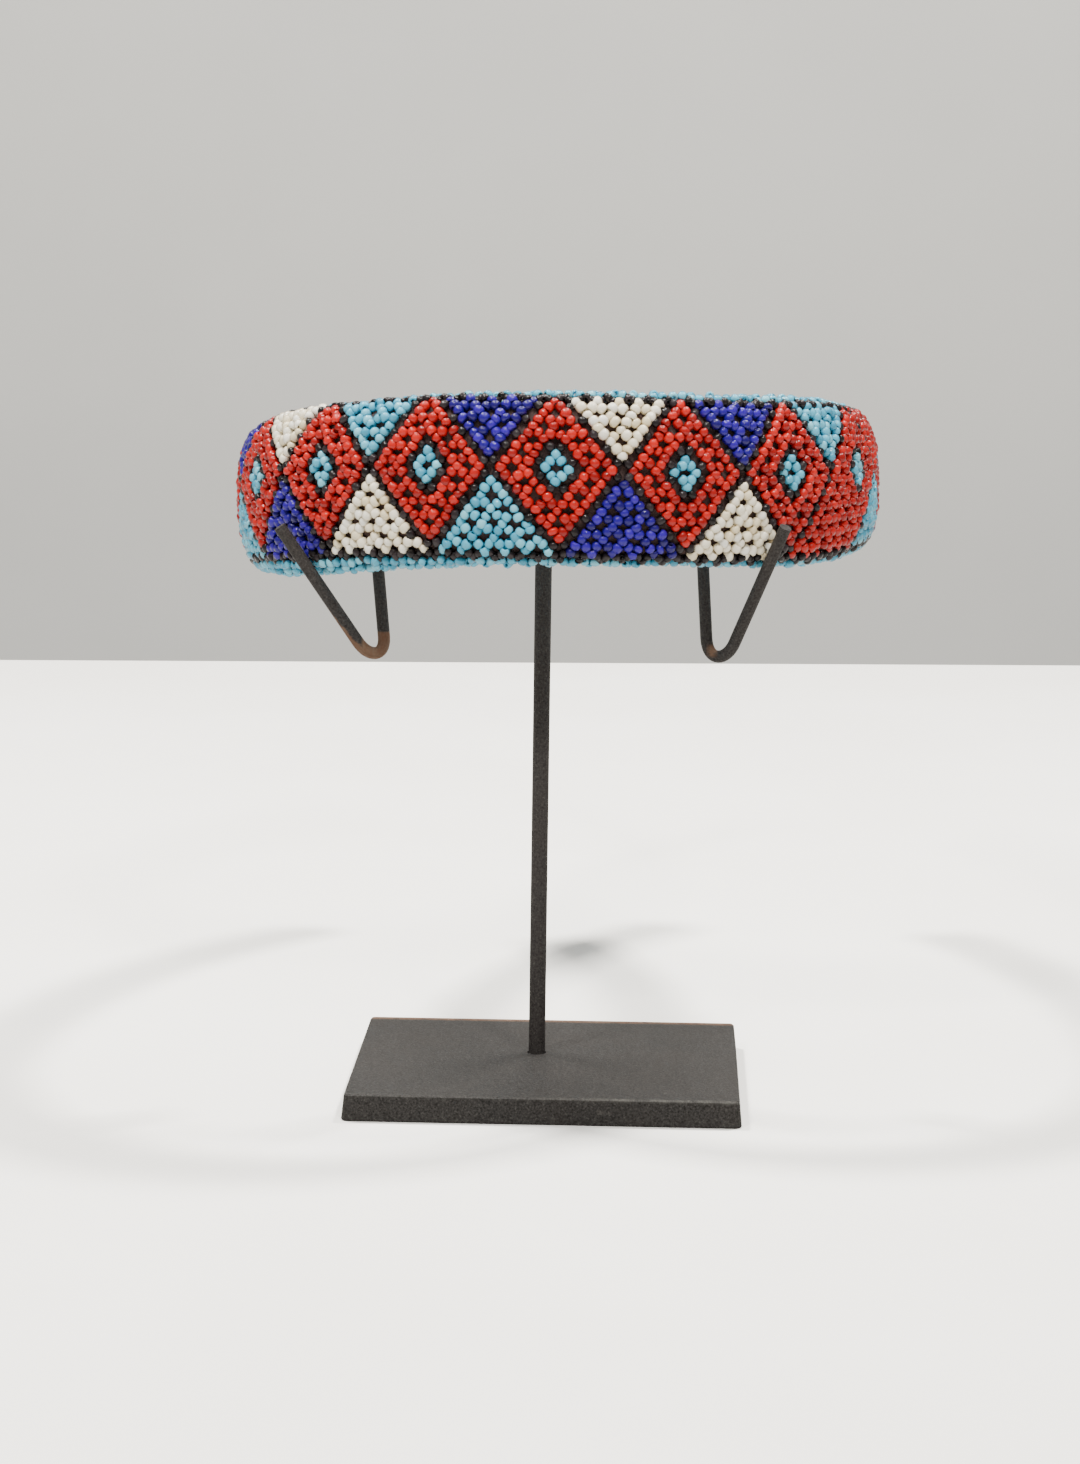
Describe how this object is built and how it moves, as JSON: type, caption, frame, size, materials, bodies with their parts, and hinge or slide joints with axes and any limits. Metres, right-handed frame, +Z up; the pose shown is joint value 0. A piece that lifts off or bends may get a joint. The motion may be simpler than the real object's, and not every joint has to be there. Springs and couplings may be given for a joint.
{
  "type": "beaded headband on a display stand",
  "caption": "Padded headband netted in red, black, turquoise, cobalt and white seed beads, open at the back, hanging in the hooks of a dark iron display stand.",
  "frame": {"origin": "centre of the base plate's underside, on the table", "axes": "+Z up, -Y to the band's patterned front, +X to the viewer's right when facing the front"},
  "size_m": [0.2023, 0.2757, 0.2094],
  "materials": {
    "stand_iron": "matte charcoal paint, speckled, with rust along the worn edges and bare brown metal in the left hook",
    "roll_cloth": "dark plain cloth over the stuffing, seen only between the beads",
    "patterned_beads": "glossy netted seed beads, red and black diamonds on cobalt, white and turquoise triangles",
    "edge_beads": "glossy black seed beads in rows",
    "lining_beads": "glossy turquoise seed beads, netted"
  },
  "bodies": {
    "root": {"base_plate": "stand_iron", "post_and_hooks": "stand_iron", "padded_core": "roll_cloth", "diamond_net": "patterned_beads", "top_edge_rows": "edge_beads", "bottom_edge_rows": "edge_beads", "turquoise_lining": "lining_beads"}
  },
  "joints": []
}
